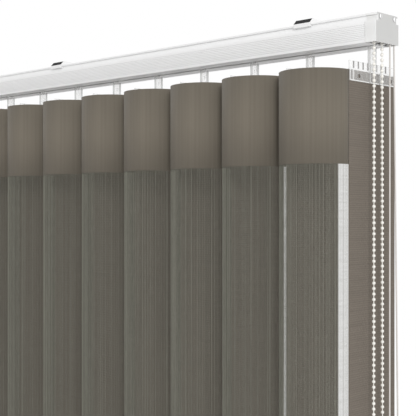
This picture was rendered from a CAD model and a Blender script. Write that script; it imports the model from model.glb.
"""Dresses the vertical blind: its cloth, chain, cord and finishes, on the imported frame.

Lengths are metres in the part's own frame: +X along the rail towards the control end,
+Y towards the window and +Z up, with the origin on the ceiling.
"""

import math
import random

import bmesh
import bpy
from bpy.props import FloatProperty, FloatVectorProperty, IntProperty, PointerProperty
from mathutils import Matrix, Vector


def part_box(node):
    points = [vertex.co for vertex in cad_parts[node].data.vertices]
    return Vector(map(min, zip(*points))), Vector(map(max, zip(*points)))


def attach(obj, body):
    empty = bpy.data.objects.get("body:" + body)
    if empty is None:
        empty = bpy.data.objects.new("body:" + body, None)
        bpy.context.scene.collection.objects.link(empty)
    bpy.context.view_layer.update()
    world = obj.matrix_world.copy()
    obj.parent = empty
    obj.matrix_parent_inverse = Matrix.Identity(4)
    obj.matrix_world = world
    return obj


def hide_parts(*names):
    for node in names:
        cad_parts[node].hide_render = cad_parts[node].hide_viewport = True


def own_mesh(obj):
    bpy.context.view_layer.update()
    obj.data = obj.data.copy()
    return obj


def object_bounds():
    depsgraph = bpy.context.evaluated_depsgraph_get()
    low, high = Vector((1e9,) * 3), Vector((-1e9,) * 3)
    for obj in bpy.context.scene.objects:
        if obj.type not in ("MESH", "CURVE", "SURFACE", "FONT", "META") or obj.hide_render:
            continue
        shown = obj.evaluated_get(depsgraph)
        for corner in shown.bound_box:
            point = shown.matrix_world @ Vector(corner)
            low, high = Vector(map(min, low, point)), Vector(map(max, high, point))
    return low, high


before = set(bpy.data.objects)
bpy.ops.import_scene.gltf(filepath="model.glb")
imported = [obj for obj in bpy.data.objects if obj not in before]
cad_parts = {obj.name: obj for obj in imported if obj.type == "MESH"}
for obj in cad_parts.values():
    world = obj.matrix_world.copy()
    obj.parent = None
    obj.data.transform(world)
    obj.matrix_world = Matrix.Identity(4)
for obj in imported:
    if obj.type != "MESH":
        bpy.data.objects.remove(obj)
CAD_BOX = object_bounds()

bl_info = {
    "name": "Vertical Blind",
    "version": (1, 0, 0),
    "blender": (4, 5, 0),
    "location": "3D View > Sidebar > Blind",
    "description": "Builds the cloth, chain, cord and finishes of a curtain-style vertical blind",
    "category": "Object",
}

CLOTH_MAP = "cloth"
MM = 0.001

VANE_COUNT = sum(name.startswith("vane_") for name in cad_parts)
RAIL_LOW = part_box("headrail")[0]
VANE_LOW, VANE_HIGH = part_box("vane_1")
DRAPE_LOW, DRAPE_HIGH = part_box("drape_1")
CHAIN_LOW, CHAIN_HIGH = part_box("bead_chain")
SPROCKET_LOW, SPROCKET_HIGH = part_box("chain_sprocket")
CORD_WEIGHT_LOW, CORD_WEIGHT_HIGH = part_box("cord_weight")
HANGER_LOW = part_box("hanger_1")[0]

# The draw cord's route as part.scad has it, in millimetres from its exit: one leg, and half the
# turn round the weight
CORD_EXIT = Vector((0.333, 0.0135, -0.038))
CORD_LEG = (
    (0, -4, 0), (0.1, -4.1, -12), (0.3, -4.5, -52), (0.9, -5.5, -152), (1.5, -6.5, -252),
    (2.1, -7.5, -357), (2.7, -8.5, -457), (3.3, -9.5, -562), (3.9, -10.5, -662),
    (4.5, -11.5, -762), (4.9, -12.2, -832), (5, -12.3, -842),
)
CORD_TURN = ((5, -11.4, -846.7), (5, -8.7, -850.7), (5, -4.7, -853.4), (5, 0, -854.3))

# The chain's thread, its room in the weight, and how far back a turning vane pushes it
THREAD_RADIUS = 0.0005
CHAIN_ROOM = 0.0003

# Grooves along the rail's front, from the underside up
GROOVE_FOOT = 0.0035
GROOVE_PITCH = 0.002
GROOVE_COUNT = 9

# A hanger, from its vane's middle: the clip's ribs, the room of the stem, where the comb has slits,
# and the comb's height over the cloth
CLIP_RIBS = (-0.0374, -0.0062, 0.0134)
STEM_ROOM = 0.004
SLITS_FROM, SLITS_TO = 0.0065, 0.042
COMB_HEIGHT = 0.0105

# Threads and stitches that only the finishes show, and how far the sheer reaches under the header,
# which also keeps it off the hem's lower edge
WARP_PITCH = 0.00062
WEFT_PITCH = 0.00070
GAUZE_PITCH = 0.0011
STITCH_PITCH = 0.0032
SHEER_LAP = 0.002

# The stage: the lamp, and the floor that fades out from a distance
KEY_SIZE = 1.8
KEY_PLACE = Vector((4.36, -3.66, 1.3))
KEY_AIM = Vector((0, 0, -0.4))
FLOOR_DROP = 0.06
FLOOR_RADIUS = 2.8
FADE_START = 1.9


def length_property(label, about, default):
    return FloatProperty(
        name=label, description=about, default=default, min=0, precision=5, unit="LENGTH"
    )


def colour_property(label, about, default):
    return FloatVectorProperty(
        name=label, description=about, default=default, size=3, min=0, max=1, subtype="COLOR"
    )


class BlindCloth(bpy.types.PropertyGroup):
    """Sizes and colours of the vanes and drapes"""

    vane_thickness: length_property("Vane thickness", "Thickness of a vane's cloth", 0.0008)
    pocket_height: length_property("Pocket height", "Height of the weighted pocket", 0.040)
    pocket_thickness: length_property("Pocket thickness", "Thickness of the pocket", 0.0026)
    header_height: length_property("Header height", "Height of a drape's header", 0.103)
    header_thickness: length_property("Header thickness", "Thickness of header and hem", 0.0012)
    hem_height: length_property("Hem height", "Height of a drape's hem", 0.022)
    rib_height: length_property("Rib height", "Height of one level rib of a vane's cloth", 0.0024)
    yarn_pitch: length_property("Yarn pitch", "Distance between the sheer's yarns", 0.0012)
    yarn_width: length_property("Yarn width", "Width of one yarn of the sheer", 0.00027)
    vane_colour: colour_property("Vane colour", "Opaque cloth of the vanes", (0.175, 0.150, 0.124))
    header_colour: colour_property(
        "Header colour", "Opaque cloth of the headers", (0.175, 0.154, 0.123)
    )
    sheer_colour: colour_property("Sheer colour", "Yarns of the sheer cloth", (0.209, 0.206, 0.172))


class BlindHardware(bpy.types.PropertyGroup):
    """Sizes and colours of the rail, hangers, chain and cord"""

    bead_radius: length_property("Bead radius", "Radius of one bead", 0.002)
    bead_pitch: length_property("Bead pitch", "Distance from bead to bead", 0.006)
    strand_beads: IntProperty(
        name="Strand beads", description="Beads in each hanging strand", default=145, min=1
    )
    sprocket_pockets: IntProperty(
        name="Sprocket pockets", description="Pockets round the chain sprocket", default=8, min=4
    )
    cord_diameter: length_property("Cord diameter", "Diameter of the draw cord", 0.0018)
    enamel_colour: colour_property("Enamel colour", "Rail and brackets", (0.92, 0.92, 0.92))
    cap_colour: colour_property("End cap colour", "Moulded end caps", (0.88, 0.88, 0.87))
    plate_colour: colour_property("Plate colour", "End faces of the end caps", (0.60, 0.60, 0.59))
    clear_colour: colour_property("Clear colour", "Clear hangers", (0.94, 0.94, 0.93))
    rim_colour: colour_property("Rim colour", "Edges of the clear hangers", (0.80, 0.80, 0.79))
    side_colour: colour_property("Side colour", "Sides of the clear hooks", (0.66, 0.66, 0.66))
    slit_colour: colour_property("Slit colour", "Slits in the clear combs", (0.26, 0.25, 0.24))
    bead_colour: colour_property("Bead colour", "Beads and loop weights", (0.88, 0.86, 0.81))
    nylon_colour: colour_property("Nylon colour", "Carriers and pulleys", (0.82, 0.82, 0.81))
    cord_colour: colour_property("Cord colour", "Draw cord", (0.66, 0.63, 0.60))
    screw_colour: colour_property("Screw colour", "Rims of the end cap screws", (0.30, 0.30, 0.30))
    pad_colour: colour_property("Pad colour", "Pads on the brackets", (0.018, 0.018, 0.019))
    rod_colour: colour_property("Rod colour", "Tilt rod", (0.72, 0.72, 0.74))


class BlindStage(bpy.types.PropertyGroup):
    """Camera, light and floor"""

    lens: FloatProperty(name="Lens", description="Focal length in millimetres", default=83.73)
    eye: FloatVectorProperty(
        name="Eye", description="Place of the camera", default=(0.9328, -0.9069, -0.2231),
        subtype="TRANSLATION", unit="LENGTH",
    )
    heading: FloatProperty(
        name="Heading", description="Turn of the camera from straight at the rail",
        default=math.radians(43.85), subtype="ANGLE",
    )
    rise: FloatProperty(name="Rise", description="Upward shift of the frame", default=0.0075)
    ambient: FloatProperty(name="Ambient", description="Light from all sides", default=0.68)
    key_power: FloatProperty(
        name="Key light", description="Power of the large lamp", default=144, unit="POWER"
    )
    floor_colour: colour_property("Floor colour", "Pale floor", (0.85, 0.85, 0.85))


class Wire:
    """A shader socket that takes part in Python expressions"""

    def __init__(self, finish, socket):
        self.finish = finish
        self.socket = socket

    def math(self, operation, *others):
        values = dict(enumerate((self, *others)))
        return self.finish.node("ShaderNodeMath", {"operation": operation}, values)

    def __add__(self, other):
        return self.math("ADD", other)

    def __sub__(self, other):
        return self.math("SUBTRACT", other)

    def __mul__(self, other):
        return self.math("MULTIPLY", other)

    def __truediv__(self, other):
        return self.math("DIVIDE", other)

    def __lt__(self, other):
        return self.math("LESS_THAN", other)

    def __gt__(self, other):
        return self.math("GREATER_THAN", other)

    def __abs__(self):
        return self.math("ABSOLUTE")

    __radd__ = __add__
    __rmul__ = __mul__


class Finish:
    """One procedural material and the nodes in it"""

    def __init__(self, name):
        self.material = bpy.data.materials.new(name)
        self.material.use_nodes = True
        self.tree = self.material.node_tree
        self.surface = self.tree.nodes["Principled BSDF"]

    def node(self, kind, settings=None, sockets=None, output=0):
        """Adds a node, with its settings first, and gives back one of its outputs"""
        made = self.tree.nodes.new(kind)
        for key, value in (settings or {}).items():
            setattr(made, key, value)
        for key, value in (sockets or {}).items():
            self.join(made.inputs[key], value)
        return Wire(self, made.outputs[output])

    def join(self, socket, value):
        if isinstance(value, Wire):
            self.tree.links.new(value.socket, socket)
        else:
            socket.default_value = value

    def place(self):
        """The piece's own place, in metres"""
        return self.node("ShaderNodeTexCoord", output="Object")

    def parts(self, vector):
        """The three parts of a vector"""
        split = self.node("ShaderNodeSeparateXYZ", sockets={0: vector})
        return [Wire(self, part) for part in split.socket.node.outputs]

    def cloth_place(self):
        """Distances across and along the cloth, in metres"""
        return self.parts(self.node("ShaderNodeUVMap", {"uv_map": CLOTH_MAP}))[:2]

    def noise(self, scale, detail=2.0, stretch=(1, 1, 1)):
        spot = self.node("ShaderNodeMapping", sockets={"Vector": self.place(), "Scale": stretch})
        return self.node(
            "ShaderNodeTexNoise", sockets={"Vector": spot, "Scale": scale, "Detail": detail}
        )

    def cloth_noise(self, across, along, per_metre_across, per_metre_along):
        spot = self.node(
            "ShaderNodeCombineXYZ",
            sockets={0: across * per_metre_across, 1: along * per_metre_along},
        )
        return self.node(
            "ShaderNodeTexNoise", sockets={"Vector": spot, "Scale": 1.0, "Detail": 1.0}
        )

    def mix(self, factor, first, second):
        """A colour between two others"""
        return self.node(
            "ShaderNodeMix", {"data_type": "RGBA"}, {0: factor, 6: first, 7: second}, output=2
        )

    def shades(self, factor, colour, spread):
        """A colour that runs from darker to lighter by the spread as the factor rises"""
        dark = (*(c * (1 - spread) for c in colour), 1)
        light = (*(min(1, c * (1 + spread)) for c in colour), 1)
        return self.mix(factor, dark, light)

    def bump(self, height, strength, distance):
        return self.node(
            "ShaderNodeBump", sockets={"Height": height, "Strength": strength, "Distance": distance}
        )

    def shade(self, **sockets):
        """Sets or links the surface's sockets, named with underscores for spaces"""
        for key, value in sockets.items():
            socket = key.replace("_", " ").title().replace("Ior", "IOR")
            self.join(self.surface.inputs[socket], value)
        return self.material


def enamel_finish(name, colour, grooves=None):
    """Satin enamel with the faint lines of the extrusion under it, and dust in its grooves.

    grooves holds the lowest groove's height, the highest one's and the distance between two.
    """
    finish = Finish(name)
    drawn = finish.noise(900, 1.0, stretch=(0.004, 1, 1))
    orange_peel = finish.noise(700, 2.0)
    shown = finish.shades(drawn, colour, 0.015)
    if grooves:
        first, last, pitch = grooves
        _, depth, height = finish.parts(finish.place())
        wave = ((height - first) * (math.tau / pitch)).math("COSINE").math("MAXIMUM", 0)
        grooved = (height > first - pitch / 2) * (height < last + pitch / 2)
        front = depth < RAIL_LOW.y + 0.001
        dusty = (*(c * 0.89 for c in colour), 1)
        shown = finish.mix(wave * (grooved * front), shown, dusty)
    return finish.shade(
        base_color=shown,
        roughness=0.36 + 0.10 * orange_peel,
        normal=finish.bump(drawn + orange_peel, 0.05, 0.0003),
        specular_ior_level=0.5,
    )


def moulded_finish(name, colour, roughness, grain, glow=0.0, gloss=0.5):
    """Moulded plastic with a fine grain and slight clouds of colour.

    glow is the share of the light that passes through a thin wall, and gloss the surface's shine.
    """
    finish = Finish(name)
    clouds = finish.noise(60, 2.0)
    sparks = finish.noise(2600, 1.0)
    finish.shade(subsurface_weight=glow, subsurface_radius=(1, 1, 1), subsurface_scale=0.003)
    return finish.shade(
        base_color=finish.shades(clouds, colour, 0.025),
        roughness=roughness + 0.08 * clouds,
        normal=finish.bump(sparks, grain, 0.0002),
        specular_ior_level=gloss,
    )


def clear_finish(name, colour, cover, ribs=()):
    """Clear plastic, a little milky, which covers a share of what lies behind it.

    Where ribs gives places across the rail, the clip's border and its ribs there cover more.
    """
    finish = Finish(name)
    flow = finish.noise(180, 2.0, stretch=(1, 1, 0.3))
    alpha = cover + 0.12 * flow
    if ribs:
        border, half_rib = 0.0012, 0.0008
        _, depth, height = finish.parts(finish.place())
        bright = (depth < HANGER_LOW.y + border) + (height < HANGER_LOW.z + border)
        for place in ribs:
            bright = bright + (abs(depth - place) < half_rib)
        alpha = alpha + 0.55 * bright.math("MINIMUM", 1) * (height < VANE_HIGH.z)
    return finish.shade(
        base_color=finish.shades(flow, colour, 0.02),
        roughness=0.10 + 0.10 * flow,
        alpha=alpha,
        coat_weight=0.6,
        coat_roughness=0.06,
    )


def rod_finish(name, colour):
    """Bright drawn aluminium"""
    finish = Finish(name)
    drawn = finish.noise(1500, 1.0, stretch=(0.003, 1, 1))
    return finish.shade(
        base_color=finish.shades(drawn, colour, 0.06),
        metallic=1.0,
        roughness=0.24 + 0.16 * drawn,
        normal=finish.bump(drawn, 0.08, 0.0002),
    )


def braid_finish(name, colour):
    """A braided cord: two sets of strands that cross as they wind down it"""
    finish = Finish(name)
    sideways, inwards, down = finish.parts(finish.place())
    across = sideways + inwards
    left = (down * 2600 + across * 3400).math("SINE")
    right = (down * 2600 - across * 3400).math("SINE")
    strands = left * right
    return finish.shade(
        base_color=finish.shades(strands * 0.5 + 0.5, colour, 0.06),
        roughness=0.75 + 0.1 * strands,
        normal=finish.bump(strands, 0.4, 0.0002),
    )


def weave_finish(name, colour, streaks, stitches=(), rib=None):
    """Plain opaque weave with slubs across or along it, and rows of stitches where they are given.

    streaks holds the slubs per metre across and along the cloth, and rib the height of one
    level rib, on cloth that has them.
    """
    finish = Finish(name)
    across, along = finish.cloth_place()
    warp = (across * (math.tau / WARP_PITCH)).math("SINE")
    weft = (along * (math.tau / WEFT_PITCH)).math("SINE")
    weave = warp * weft
    slub = finish.cloth_noise(across, along, *streaks)
    cloud = finish.cloth_noise(across, along, 25, 9)
    fuzz = finish.noise(5200, 1.0)
    tone = slub * 0.62 + cloud * 0.2 + weave * 0.06 + fuzz * 0.12
    height = weave * 0.5 + slub + fuzz * 0.3
    if rib:
        wander = finish.cloth_noise(across, along, 60, 40)
        ribs = ((along + wander * 0.0006) * (math.tau / rib)).math("SINE")
        tone = tone + ribs * 0.2
        height = height + ribs * 0.8
    shown = finish.shades(tone, colour, 0.2)
    for row in stitches:
        dash = (across * (math.tau / STITCH_PITCH)).math("SINE") > -0.5
        thread = (abs(along - row) < 0.00045) * dash
        lighter = (*(min(1, c * 1.25) for c in colour), 1)
        shown = finish.mix(thread * 0.8, shown, lighter)
        height = height + thread * 1.5 - (abs(along - row) < 0.0011) * 0.8
    return finish.shade(
        base_color=shown,
        roughness=0.82 + 0.12 * fuzz,
        sheen_weight=0.12,
        sheen_roughness=0.4,
        specular_ior_level=0.2,
        normal=finish.bump(height, 0.35, 0.0003),
    )


def yarn_finish(name, colour):
    """The sheer's upright yarns, each of its own shade"""
    finish = Finish(name)
    each = finish.noise(900, 0.0, stretch=(1, 1, 0.004))
    slub = finish.noise(260, 1.0, stretch=(1, 1, 0.3))
    return finish.shade(
        base_color=finish.shades(each * 0.7 + slub * 0.3, colour, 0.55),
        roughness=0.85,
        specular_ior_level=0.1,
    )


def gauze_finish(name, colour):
    """The sheer's weft: fine level threads with open space between them"""
    finish = Finish(name)
    across, along = finish.cloth_place()
    threads = (along * (math.tau / GAUZE_PITCH)).math("SINE") > 0.55
    bars = finish.cloth_noise(across, along, 45, 480)
    slub = finish.cloth_noise(across, along, 30, 700)
    fold = finish.cloth_noise(across, along, 260, 3)
    return finish.shade(
        base_color=finish.shades(slub, colour, 0.15),
        roughness=0.9,
        specular_ior_level=0.1,
        alpha=threads * (0.2 + 0.4 * slub) + 0.10 * fold + 0.25 * (bars - 0.4).math("MAXIMUM", 0),
    )


def floor_finish(name, colour):
    """A pale floor that fades into the white round it"""
    finish = Finish(name)
    reach = finish.node(
        "ShaderNodeVectorMath", {"operation": "LENGTH"}, {0: finish.place()}, output=1
    )
    fade = (reach - FADE_START) / (FLOOR_RADIUS - FADE_START)
    far = fade.math("MAXIMUM", 0).math("MINIMUM", 1)
    grain = finish.noise(40, 2.0)
    finish.shade(base_color=finish.shades(grain, colour, 0.01), roughness=0.9)
    white = finish.node("ShaderNodeEmission", sockets={"Color": (1, 1, 1, 1), "Strength": 1.0})
    lit = Wire(finish, finish.surface.outputs[0])
    faded = finish.node("ShaderNodeMixShader", sockets={0: far, 1: lit, 2: white})
    finish.join(finish.tree.nodes["Material Output"].inputs["Surface"], faded)
    return finish.material


def new_object(name, data):
    made = bpy.data.objects.new(name, data)
    bpy.context.scene.collection.objects.link(made)
    return made


def new_piece(name, shape, material, body, slot, *nodes):
    """Makes an object of a bmesh, which rides on a body and stands for the nodes named"""
    mesh = bpy.data.meshes.new(name)
    shape.to_mesh(mesh)
    shape.free()
    mesh.materials.append(material)
    made = new_object(name, mesh)
    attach(made, body)
    if nodes:
        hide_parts(*nodes)
    return made


def smooth(shape, angle=math.radians(40)):
    """Shades a shape smooth, apart from its sharp edges"""
    for face in shape.faces:
        face.smooth = True
    for edge in shape.edges:
        if len(edge.link_faces) == 2 and edge.calc_face_angle() > angle:
            edge.smooth = False


def soften(shape, width, segments=2):
    """Rounds every sharp edge of a shape"""
    sharp = [
        e for e in shape.edges if len(e.link_faces) == 2 and e.calc_face_angle() > math.radians(30)
    ]
    bmesh.ops.bevel(
        shape, geom=sharp, offset=width, offset_type="OFFSET", affect="EDGES", segments=segments,
        profile=0.5, material=-1, clamp_overlap=True,
    )


def lay_cloth_map(shape, spread):
    """Gives each corner its place on the flat cloth, which spread works out from a vertex"""
    layer = shape.loops.layers.uv.new(CLOTH_MAP)
    for face in shape.faces:
        for loop in face.loops:
            loop[layer].uv = spread(loop.vert.co)


def dress(material, *nodes):
    """Gives CAD nodes a material"""
    for name in nodes:
        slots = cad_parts[name].data.materials
        slots.clear()
        slots.append(material)


def dress_faces(material, nodes, chosen):
    """Gives CAD nodes one more material, on the faces chosen by their normal and centre"""
    for name in nodes:
        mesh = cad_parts[name].data
        mesh.materials.append(material)
        for face in mesh.polygons:
            if chosen(face.normal, face.center):
                face.material_index = len(mesh.materials) - 1


def numbered(name, count):
    return [f"{name}_{i}" for i in range(1, count + 1)]


class BLIND_OT_stage(bpy.types.Operator):
    """Makes the camera, the light and the floor"""

    bl_idname = "blind.stage"
    bl_label = "Stage"

    def execute(self, context):
        values = context.scene.blind_stage
        self.camera(context, values)
        self.light(context, values)
        self.floor(values)
        return {"FINISHED"}

    def camera(self, context, values):
        lens = bpy.data.cameras.new("camera")
        lens.sensor_width = 36
        lens.lens = values.lens
        lens.shift_y = values.rise
        lens.clip_start, lens.clip_end = 0.01, 50
        camera = new_object("camera", lens)
        camera.location = values.eye
        camera.rotation_euler = (math.pi / 2, 0, values.heading)
        context.scene.camera = camera

    def light(self, context, values):
        scene = context.scene
        scene.view_settings.view_transform = "Standard"
        light = bpy.data.lights.new("key", "AREA")
        light.shape = "DISK"
        light.size = KEY_SIZE
        light.energy = values.key_power
        key = new_object("key", light)
        key.location = KEY_PLACE
        key.rotation_euler = (KEY_AIM - KEY_PLACE).to_track_quat("-Z", "Y").to_euler()
        world = scene.world or bpy.data.worlds.new("world")
        scene.world = world
        world.use_nodes = True
        tree = world.node_tree
        tree.nodes.clear()
        seen = tree.nodes.new("ShaderNodeLightPath")
        bright = tree.nodes.new("ShaderNodeBackground")
        bright.inputs["Strength"].default_value = 1.0
        soft = tree.nodes.new("ShaderNodeBackground")
        soft.inputs["Strength"].default_value = values.ambient
        for shade in (bright, soft):
            shade.inputs["Color"].default_value = (1, 1, 1, 1)
        camera_or_glossy = tree.nodes.new("ShaderNodeMath")
        camera_or_glossy.operation = "MAXIMUM"
        any_view = tree.nodes.new("ShaderNodeMath")
        any_view.operation = "MAXIMUM"
        mix = tree.nodes.new("ShaderNodeMixShader")
        out = tree.nodes.new("ShaderNodeOutputWorld")
        link = tree.links.new
        link(seen.outputs["Is Camera Ray"], camera_or_glossy.inputs[0])
        link(seen.outputs["Is Glossy Ray"], camera_or_glossy.inputs[1])
        link(camera_or_glossy.outputs[0], any_view.inputs[0])
        link(seen.outputs["Is Transmission Ray"], any_view.inputs[1])
        link(any_view.outputs[0], mix.inputs[0])
        link(soft.outputs[0], mix.inputs[1])
        link(bright.outputs[0], mix.inputs[2])
        link(mix.outputs[0], out.inputs["Surface"])

    def floor(self, values):
        shape = bmesh.new()
        bmesh.ops.create_circle(shape, cap_ends=True, segments=96, radius=FLOOR_RADIUS)
        mesh = bpy.data.meshes.new("floor")
        shape.to_mesh(mesh)
        shape.free()
        mesh.transform(Matrix.Translation((0, 0, CAD_BOX[0].z - FLOOR_DROP)))
        mesh.materials.append(floor_finish("pale_floor", values.floor_colour))
        new_object("floor", mesh)


class BLIND_OT_draw_cord(bpy.types.Operator):
    """Makes the draw cord's hanging loop and its weight"""

    bl_idname = "blind.draw_cord"
    bl_label = "Draw cord"

    def execute(self, context):
        values = context.scene.blind_hardware
        weight = loop_weight(
            "cord_weight_body", (CORD_WEIGHT_LOW + CORD_WEIGHT_HIGH) / 2,
            wheel_z=CORD_EXIT.z + CORD_LEG[-1][2] * MM, groove=0.0111, gap=0.0024, reach=0.004,
            drop=0.014, material=moulded_finish("weight_plastic", values.bead_colour, 0.22, 0.03),
            slot="weight_plastic",
        )
        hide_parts("cord_weight")
        down = [CORD_EXIT + Vector(place) * MM for place in CORD_LEG + CORD_TURN]
        up = [Vector((p.x, 2 * CORD_EXIT.y - p.y, p.z)) for p in reversed(down[:-1])]
        route = down + up
        curve = bpy.data.curves.new("draw_cord_loop", "CURVE")
        curve.dimensions = "3D"
        curve.bevel_depth = values.cord_diameter / 2
        curve.bevel_resolution = 2
        curve.use_fill_caps = True
        spline = curve.splines.new("POLY")
        spline.points.add(len(route) - 1)
        for point, spot in zip(spline.points, route):
            point.co = (*spot, 1)
        curve.materials.append(braid_finish("white_braid", values.cord_colour))
        cord = new_object("draw_cord_loop", curve)
        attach(cord, "root")
        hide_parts("draw_cord")
        dress(curve.materials[0], "rail_cord")
        return {"FINISHED"}


def loop_weight(name, middle, wheel_z, groove, gap, reach, drop, material, slot):
    """A weight that hangs in a loop: a core between two cheeks, and a heavy foot"""
    shape = bmesh.new()
    cheek, cheek_radius = 0.0018, groove + reach
    across = Matrix.Rotation(math.pi / 2, 4, "Y")
    centre = Vector((middle.x, middle.y, wheel_z))

    def disc(x, radius, depth):
        bmesh.ops.create_cone(
            shape, cap_ends=True, segments=40, radius1=radius, radius2=radius, depth=depth,
            matrix=Matrix.Translation(centre + Vector((x, 0, 0))) @ across,
        )

    def block(x, width, low, high):
        size = Matrix.Diagonal((width, 1.2 * cheek_radius, high - low, 1))
        place = Matrix.Translation(centre + Vector((x, 0, (low + high) / 2)))
        bmesh.ops.create_cube(shape, size=1, matrix=place @ size)

    foot = -cheek_radius - drop
    for side in (-1, 1):
        x = side * (gap + cheek) / 2
        disc(x, cheek_radius, cheek)
        block(x, cheek, foot, -cheek_radius * 0.5)
    disc(0, groove, gap + cheek)
    block(0, gap + cheek, foot, -cheek_radius - 0.001)
    soften(shape, 0.0004)
    smooth(shape)
    return new_piece(name, shape, material, "root", slot)


class BLIND_OT_bead_chain(bpy.types.Operator):
    """Makes the bead chain: the part on the sprocket, the hanging loop and its weight"""

    bl_idname = "blind.bead_chain"
    bl_label = "Bead chain"

    def execute(self, context):
        values = context.scene.blind_hardware
        gloss = moulded_finish("bead_gloss", values.bead_colour, 0.2, 0.02)
        pitch, beads = values.bead_pitch, values.strand_beads
        x = (CHAIN_LOW.x + CHAIN_HIGH.x) / 2
        middle = (SPROCKET_LOW + SPROCKET_HIGH) / 2
        top_links = values.sprocket_pockets // 2
        foot_links = top_links + 1
        top_radius, foot_radius = top_links * pitch / math.pi, foot_links * pitch / math.pi
        lean = math.asin((foot_radius - top_radius) / (beads * pitch))
        foot_z = middle.z - beads * pitch * math.cos(lean)
        wrap = [
            Vector((x, middle.y + top_radius * math.cos(a), middle.z + top_radius * math.sin(a)))
            for a in (k * math.pi / top_links for k in range(top_links + 1))
        ]
        foot = [
            Vector((x, middle.y - foot_radius * math.cos(a), foot_z - foot_radius * math.sin(a)))
            for a in (k * math.pi / foot_links for k in range(foot_links + 1))
        ]

        def strand(side, first, last):
            way = Vector((0, side * math.sin(lean), -math.cos(lean)))
            start = Vector((x, middle.y + side * top_radius, middle.z))
            return [start + way * (k * pitch) for k in range(first, last)]

        inside, leads = 3, 4
        inner = strand(1, 1, inside)[::-1] + wrap + strand(-1, 1, inside)
        outer = strand(-1, inside + leads, beads) + foot + strand(1, inside + leads, beads)[::-1]
        self.beads("bead_chain_on_sprocket", [inner], values, gloss)
        for k in range(leads):
            pair = [strand(side, inside + k, inside + k + 1) for side in (-1, 1)]
            lead = self.beads(f"bead_chain_lead_{k + 1}", pair, values, gloss)
            push_aside(lead)
        hanging = self.beads("bead_chain_loop", [outer], values, gloss)
        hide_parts("bead_chain")
        weight = loop_weight(
            "chain_weight_body", Vector((x, middle.y, 0)), wheel_z=foot_z,
            groove=foot_radius - values.bead_radius - CHAIN_ROOM,
            gap=2 * (values.bead_radius + CHAIN_ROOM), reach=0.005, drop=0.016,
            material=gloss, slot="bead_plastic",
        )
        for piece in (hanging, weight):
            push_aside(piece)
        return {"FINISHED"}

    def beads(self, name, runs, values, material):
        """Beads in runs, each with half a pitch of thread before and after it"""
        shape = bmesh.new()
        for run in runs:
            for k, place in enumerate(run):
                spot = Matrix.Translation(place)
                before, after = run[max(k - 1, 0)], run[min(k + 1, len(run) - 1)]
                way = after - before if len(run) > 1 else Vector((0, 0, 1))
                turn = way.to_track_quat("Z", "Y").to_matrix().to_4x4()
                bmesh.ops.create_icosphere(
                    shape, subdivisions=2, radius=values.bead_radius, matrix=spot
                )
                bmesh.ops.create_cone(
                    shape, cap_ends=True, segments=6, radius1=THREAD_RADIUS, radius2=THREAD_RADIUS,
                    depth=values.bead_pitch, matrix=spot @ turn,
                )
        smooth(shape)
        return new_piece(name, shape, material, "root", "bead_plastic")


def push_aside(piece):
    """Moves a hanging piece back, clear of the first vane as that turns.

    A squash towards a far anchor moves the whole piece by nearly the same distance.
    """
    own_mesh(piece)


class BLIND_OT_rail(bpy.types.Operator):
    """Finishes the rail, its ends and brackets, and what runs inside"""

    bl_idname = "blind.rail"
    bl_label = "Rail"

    def execute(self, context):
        values = context.scene.blind_hardware
        first = RAIL_LOW.z + GROOVE_FOOT
        grooves = (first, first + (GROOVE_COUNT - 1) * GROOVE_PITCH, GROOVE_PITCH)
        dress(enamel_finish("rail_enamel", values.enamel_colour, grooves), "headrail")
        dress(enamel_finish("bracket_enamel", values.enamel_colour), "ceiling_brackets")
        caps = ["control_end_cap", "idle_end_cap"]
        dress(moulded_finish("end_cap_plastic", values.cap_colour, 0.42, 0.10, glow=0.6), *caps)
        plate = moulded_finish("cap_plate", values.plate_colour, 0.5, 0.2)
        dress_faces(plate, caps, lambda normal, centre: abs(normal.x) > 0.9)
        dress(enamel_finish("screw_lacquer", values.enamel_colour), "end_cap_screws")
        screw_rim = enamel_finish("screw_rim", values.screw_colour)
        dress_faces(screw_rim, ["end_cap_screws"], lambda normal, centre: abs(normal.x) < 0.5)
        pad = moulded_finish("pad_rubber", values.pad_colour, 0.6, 0.3, gloss=0.15)
        dress(pad, "bracket_pads")
        dress_faces(
            pad, ["ceiling_brackets"], lambda normal, centre: normal.y < -0.5 and normal.z > 0.5
        )
        dress(rod_finish("drawn_rod", values.rod_colour), "tilt_rod")
        dress(moulded_finish("sprocket_plastic", values.bead_colour, 0.35, 0.05), "chain_sprocket")
        nylon = moulded_finish("carrier_nylon", values.nylon_colour, 0.4, 0.06)
        dress(nylon, "control_pulley_front", "control_pulley_back", "idle_pulley")
        dress(nylon, *numbered("carrier", VANE_COUNT))
        return {"FINISHED"}


class BLIND_OT_hangers(bpy.types.Operator):
    """Finishes the clear hooks and clips that carry the vanes"""

    bl_idname = "blind.hangers"
    bl_label = "Hangers"

    def execute(self, context):
        values = context.scene.blind_hardware
        hangers = numbered("hanger", VANE_COUNT)
        dress(clear_finish("clear_plastic", values.clear_colour, 0.15, CLIP_RIBS), *hangers)
        rims = clear_finish("clear_rim", values.rim_colour, 0.6)
        sides = clear_finish("hook_side", values.side_colour, 0.6)
        slits = clear_finish("comb_slit", values.slit_colour, 0.8)

        def on_rim(normal, centre):
            return abs(normal.x) < 0.5 and abs(centre.y) > STEM_ROOM

        def on_hook_side(normal, centre):
            above_comb = centre.z > VANE_HIGH.z + COMB_HEIGHT
            return abs(normal.y) > 0.5 and abs(centre.y) > STEM_ROOM and above_comb

        def in_slit(normal, centre):
            return abs(normal.y) > 0.5 and SLITS_FROM < abs(centre.y) < SLITS_TO

        for material, chosen in ((rims, on_rim), (sides, on_hook_side), (slits, in_slit)):
            dress_faces(material, hangers, chosen)
        return {"FINISHED"}


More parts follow.
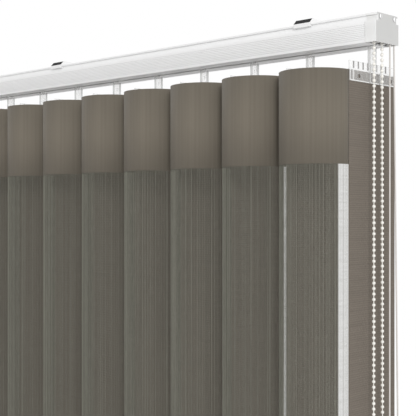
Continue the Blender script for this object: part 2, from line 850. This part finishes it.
class BLIND_OT_vanes(bpy.types.Operator):
    """Makes the opaque vanes, each with a weighted pocket at its foot"""

    bl_idname = "blind.vanes"
    bl_label = "Vanes"

    def execute(self, context):
        values = context.scene.blind_cloth
        seam = VANE_LOW.z + values.pocket_height
        weave = weave_finish(
            "vane_weave", values.vane_colour, (14, 620), stitches=(seam,), rib=values.rib_height
        )
        for i, name in enumerate(numbered("vane", VANE_COUNT), start=1):
            low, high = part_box(name)
            shape = self.panel(low, high, values)
            piece = new_piece(f"vane_cloth_{i}", shape, weave, f"strip_{i}", "vane_cloth", name)
        return {"FINISHED"}

    def panel(self, low, high, values):
        """The vane's outline seen from its front edge, drawn across its width"""
        x = (low.x + high.x) / 2
        thin, thick = values.vane_thickness / 2, values.pocket_thickness / 2
        pocket = low.z + values.pocket_height
        half = [
            (thin, high.z), (thin, pocket + 0.0015), (thin * 0.8, pocket),
            (thick * 0.7, pocket - 0.003), (thick, pocket - 0.009), (thick, low.z + 0.006),
            (thick * 0.8, low.z + 0.0015), (thick * 0.35, low.z),
        ]
        outline = half + [(-reach, z) for reach, z in reversed(half)]
        shape = bmesh.new()
        corners = [shape.verts.new((x + reach, low.y, z)) for reach, z in outline]
        front = shape.faces.new(corners)
        made = bmesh.ops.extrude_face_region(shape, geom=[front])
        moved = [v for v in made["geom"] if isinstance(v, bmesh.types.BMVert)]
        bmesh.ops.translate(shape, verts=moved, vec=(0, high.y - low.y, 0))
        bmesh.ops.recalc_face_normals(shape, faces=shape.faces)
        smooth(shape, math.radians(35))
        lay_cloth_map(shape, lambda co: (co.y, co.z))
        return shape


class BLIND_OT_drapes(bpy.types.Operator):
    """Makes the half-round drapes: an opaque header, sheer cloth and a hem"""

    bl_idname = "blind.drapes"
    bl_label = "Drapes"

    def execute(self, context):
        values = context.scene.blind_cloth
        chance = random.Random(7)
        header_foot = DRAPE_HIGH.z - values.header_height
        hem_top = DRAPE_LOW.z + values.hem_height
        header = weave_finish("header_weave", values.header_colour, (420, 5))
        hem = weave_finish("hem_weave", values.sheer_colour, (420, 5), stitches=(hem_top - 0.002,))
        yarns = yarn_finish("sheer_yarn", values.sheer_colour)
        gauze = gauze_finish("sheer_weft", values.sheer_colour)
        for i, node in enumerate(numbered("drape", VANE_COUNT - 1), start=1):
            low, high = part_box(node)
            radius = (high.x - low.x) / 2
            centre = Vector((low.x + radius, high.y, 0))
            body, slot = f"strip_{i}", "drape_cloth"
            inner = radius - values.header_thickness / 2
            shape = self.half_round(centre, radius, header_foot, high.z)
            band = new_piece(f"drape_header_{i}", shape, header, body, slot)
            shape = self.half_round(centre, radius, low.z, hem_top)
            foot = new_piece(f"drape_hem_{i}", shape, hem, body, slot)
            for piece in (band, foot):
                wall = piece.modifiers.new("cloth", "SOLIDIFY")
                wall.thickness = values.header_thickness
                wall.offset = -1
            shape = self.yarns(centre, inner, low.z, header_foot, values, chance)
            threads = new_piece(f"drape_yarns_{i}", shape, yarns, body, slot)
            shape = self.half_round(centre, inner, low.z + SHEER_LAP, header_foot + SHEER_LAP)
            sheer = new_piece(f"drape_sheer_{i}", shape, gauze, body, slot, node)
            for piece in (band, foot, threads, sheer):
                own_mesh(piece)
        return {"FINISHED"}

    def half_round(self, centre, radius, low, high, steps=48):
        """Half a tube in front of the vanes, from one height to another"""
        shape = bmesh.new()
        start = shape.verts.new(centre + Vector((radius, 0, high)))
        bmesh.ops.spin(
            shape, geom=[start], cent=centre, axis=(0, 0, 1), angle=-math.pi, steps=steps,
            use_merge=False, use_duplicate=False,
        )
        made = bmesh.ops.extrude_edge_only(shape, edges=shape.edges[:])
        lower = [v for v in made["geom"] if isinstance(v, bmesh.types.BMVert)]
        bmesh.ops.translate(shape, verts=lower, vec=(0, 0, low - high))
        shape.normal_update()
        inward = [
            f for f in shape.faces
            if f.normal.xy.dot((f.calc_center_median() - centre).xy) < 0
        ]
        bmesh.ops.reverse_faces(shape, faces=inward)
        smooth(shape)

        def spread(co):
            angle = math.atan2(min(co.y - centre.y, 0), co.x - centre.x)
            return radius * abs(angle), co.z

        lay_cloth_map(shape, spread)
        return shape

    def yarns(self, centre, radius, low, high, values, chance):
        """The sheer's upright yarns, uneven in place and width as spun yarn is"""
        shape = bmesh.new()
        count = round(math.pi * radius / values.yarn_pitch)
        for k in range(count + 1):
            angle = -math.pi * min(1, max(0, (k + chance.uniform(-0.2, 0.2)) / count))
            place = centre + Vector(
                (radius * math.cos(angle), radius * math.sin(angle), (low + high) / 2)
            )
            width = values.yarn_width / 2 * chance.uniform(0.6, 1.0)
            if k % 3 == chance.choice((0, 0, 1)):
                width *= 2
            bmesh.ops.create_cone(
                shape, cap_ends=True, segments=5, radius1=width, radius2=width, depth=high - low,
                matrix=Matrix.Translation(place),
            )
        smooth(shape, math.radians(80))
        return shape


class BLIND_PT_sidebar(bpy.types.Panel):
    """Lists the steps that build the blind, with its sizes and colours"""

    bl_idname = "BLIND_PT_sidebar"
    bl_label = "Vertical Blind"
    bl_space_type = "VIEW_3D"
    bl_region_type = "UI"
    bl_category = "Blind"

    def draw(self, context):
        for operator in OPERATORS:
            self.layout.operator(operator.bl_idname)
        for name in GROUPS:
            group = getattr(context.scene, name)
            column = self.layout.column()
            for key in group.bl_rna.properties.keys():
                if key not in {"rna_type", "name"}:
                    column.prop(group, key)


GROUPS = {"blind_cloth": BlindCloth, "blind_hardware": BlindHardware, "blind_stage": BlindStage}
OPERATORS = (
    BLIND_OT_stage, BLIND_OT_draw_cord, BLIND_OT_bead_chain, BLIND_OT_rail, BLIND_OT_hangers,
    BLIND_OT_vanes, BLIND_OT_drapes,
)


def register():
    for cls in (*GROUPS.values(), *OPERATORS, BLIND_PT_sidebar):
        bpy.utils.register_class(cls)
    for name, group in GROUPS.items():
        setattr(bpy.types.Scene, name, PointerProperty(type=group))


def unregister():
    for name in GROUPS:
        delattr(bpy.types.Scene, name)
    for cls in (BLIND_PT_sidebar, *reversed(OPERATORS), *GROUPS.values()):
        bpy.utils.unregister_class(cls)


def main():
    register()
    bpy.ops.blind.stage()
    bpy.ops.blind.draw_cord()
    bpy.ops.blind.bead_chain()
    bpy.ops.blind.rail()
    bpy.ops.blind.hangers()
    bpy.ops.blind.vanes()
    bpy.ops.blind.drapes()


if __name__ == "__main__":
    main()
